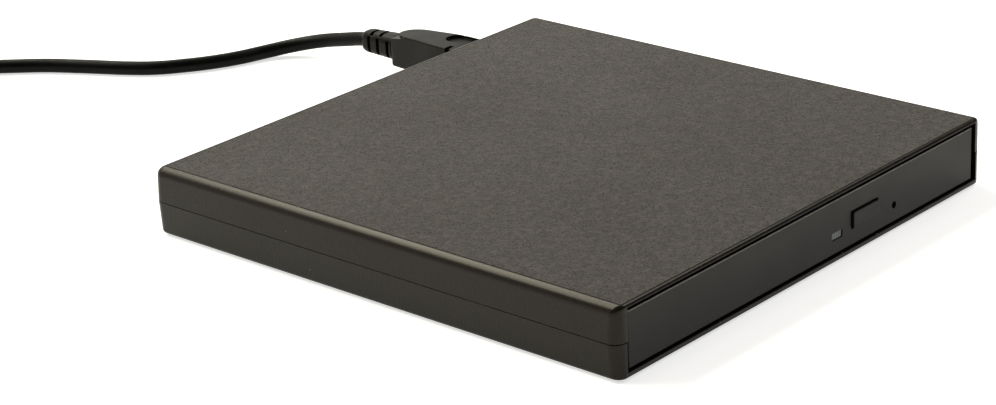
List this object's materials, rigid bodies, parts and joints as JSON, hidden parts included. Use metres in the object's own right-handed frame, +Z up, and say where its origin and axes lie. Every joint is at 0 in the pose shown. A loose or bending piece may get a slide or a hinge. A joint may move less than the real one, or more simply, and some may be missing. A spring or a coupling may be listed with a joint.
{
  "type": "external disc drive",
  "caption": "Flat rounded case round a slim disc drive whose tray slides out at the front, with an eject button, status light and plugged-in lead.",
  "frame": {"origin": "middle of the case's footprint, on the plane that the rubber feet rest on", "axes": "+X to the right seen from the front, +Y to the back, +Z up; the tray slides out towards -Y"},
  "size_m": [0.1998, 0.3067, 0.0176],
  "materials": {
    "case_plastic": "fine texture",
    "bezel_plastic": "satin",
    "tray_plastic": "satin",
    "foot_rubber": "matte",
    "screw_steel": "blackened",
    "sheet_steel": "satin",
    "guide_plastic": "natural acetal",
    "bright_steel": "polished",
    "light_pipe": "translucent",
    "cast_frame": "dark cast",
    "copper_winding": "lacquered copper wire",
    "connector_plastic": "moulded",
    "lens_glass": "coated",
    "circuit_board": "solder mask",
    "flex_film": "film",
    "cable_sheath": "soft sheath"
  },
  "bodies": {
    "enclosure": {"top_cover": "case_plastic", "bottom_cover": "case_plastic", "rubber_foot_1": "foot_rubber", "rubber_foot_2": "foot_rubber", "rubber_foot_3": "foot_rubber", "rubber_foot_4": "foot_rubber", "case_screw_1": "screw_steel", "case_screw_2": "screw_steel", "case_screw_3": "screw_steel", "case_screw_4": "screw_steel", "drive_base": "sheet_steel", "drive_lid": "sheet_steel", "rail_guide_left": "guide_plastic", "rail_guide_right": "guide_plastic", "main_board": "circuit_board", "drive_connector": "connector_plastic", "flex_cable": "flex_film", "latch_post": "bright_steel", "eject_pusher": "guide_plastic", "eject_spring": "bright_steel", "eject_bracket": "guide_plastic", "bridge_board": "circuit_board", "bridge_connector": "connector_plastic", "usb_port_shell": "bright_steel", "usb_port_insert": "connector_plastic", "device_plug": "cable_sheath", "device_plug_relief": "cable_sheath", "usb_cable": "cable_sheath", "usb_cable_coil": "cable_sheath", "computer_plug": "cable_sheath", "computer_plug_shell": "bright_steel", "computer_plug_insert": "connector_plastic"},
    "tray": {"disc_tray": "tray_plastic", "front_bezel": "bezel_plastic", "led_window": "light_pipe", "mechanism_cover": "cast_frame", "traverse_frame": "cast_frame", "guide_shaft_1": "bright_steel", "guide_shaft_2": "bright_steel", "sled_motor": "sheet_steel", "rubber_damper_1": "foot_rubber", "rubber_damper_2": "foot_rubber", "rubber_damper_3": "foot_rubber", "spindle_motor_base": "sheet_steel", "spindle_stator": "copper_winding", "tray_board": "circuit_board", "latch_solenoid": "sheet_steel"},
    "eject_button": {"eject_button": "bezel_plastic"},
    "latch_lever": {"latch_lever": "guide_plastic"},
    "slide_rail_left": {"slide_rail_left": "bright_steel"},
    "slide_rail_right": {"slide_rail_right": "bright_steel"},
    "spindle": {"spindle_turntable": "sheet_steel", "turntable_ring": "foot_rubber"},
    "chuck_pawl_1": {"chuck_pawl_1": "guide_plastic"},
    "chuck_pawl_2": {"chuck_pawl_2": "guide_plastic"},
    "chuck_pawl_3": {"chuck_pawl_3": "guide_plastic"},
    "sled": {"pickup_body": "cast_frame"},
    "lens": {"lens_holder": "connector_plastic", "objective_lens": "lens_glass"},
    "lead_screw": {"lead_screw": "bright_steel"}
  },
  "joints": [
    {"name": "tray_slide", "type": "slide", "parent": "enclosure", "child": "tray", "axis": [0, -1, 0], "range_m": [0, 0.126]},
    {"name": "slide_rail_left_slide", "type": "slide", "parent": "enclosure", "child": "slide_rail_left", "axis": [0, -1, 0], "range_m": [0, 0.063]},
    {"name": "slide_rail_right_slide", "type": "slide", "parent": "enclosure", "child": "slide_rail_right", "axis": [0, -1, 0], "range_m": [0, 0.063]},
    {"name": "eject_button_press", "type": "slide", "parent": "tray", "child": "eject_button", "axis": [0, 1, 0], "range_m": [0, 0.0006], "stiffness_N_per_m": 400, "springref_m": -0.0003},
    {"name": "latch_lever_turn", "type": "hinge", "parent": "tray", "child": "latch_lever", "pos_m": [0.039, -0.0555, 0.0057], "axis": [0, 0, 1], "range_deg": [-20, 0]},
    {"name": "spindle_spin", "type": "hinge", "parent": "tray", "child": "spindle", "pos_m": [0, -0.008, 0.0102], "axis": [0, 0, 1], "continuous": true},
    {"name": "chuck_pawl_1_slide", "type": "slide", "parent": "spindle", "child": "chuck_pawl_1", "axis": [0.7071, 0.7071, 0], "range_m": [0, 0.0005], "stiffness_N_per_m": 200, "springref_m": -0.0003},
    {"name": "chuck_pawl_2_slide", "type": "slide", "parent": "spindle", "child": "chuck_pawl_2", "axis": [-0.9659, 0.2588, 0], "range_m": [0, 0.0005], "stiffness_N_per_m": 200, "springref_m": -0.0003},
    {"name": "chuck_pawl_3_slide", "type": "slide", "parent": "spindle", "child": "chuck_pawl_3", "axis": [0.2588, -0.9659, 0], "range_m": [0, 0.0005], "stiffness_N_per_m": 200, "springref_m": -0.0003},
    {"name": "sled_slide", "type": "slide", "parent": "tray", "child": "sled", "axis": [-0.7071, -0.7071, 0], "range_m": [0, 0.034]},
    {"name": "lead_screw_turn", "type": "hinge", "parent": "tray", "child": "lead_screw", "pos_m": [-0.0012, -0.02547, 0.0066], "axis": [-0.7071, -0.7071, 0], "range_deg": [0, 4080]},
    {"name": "lens_focus", "type": "slide", "parent": "sled", "child": "lens", "axis": [0, 0, 1], "range_m": [-0.0003, 0.0003], "stiffness_N_per_m": 60}
  ],
  "couplings": [
    {"joint": "slide_rail_left_slide", "follows": "tray_slide", "ratio": 0.5},
    {"joint": "slide_rail_right_slide", "follows": "tray_slide", "ratio": 0.5},
    {"joint": "lead_screw_turn", "follows": "sled_slide", "rad_per_m": 2094.4}
  ]
}
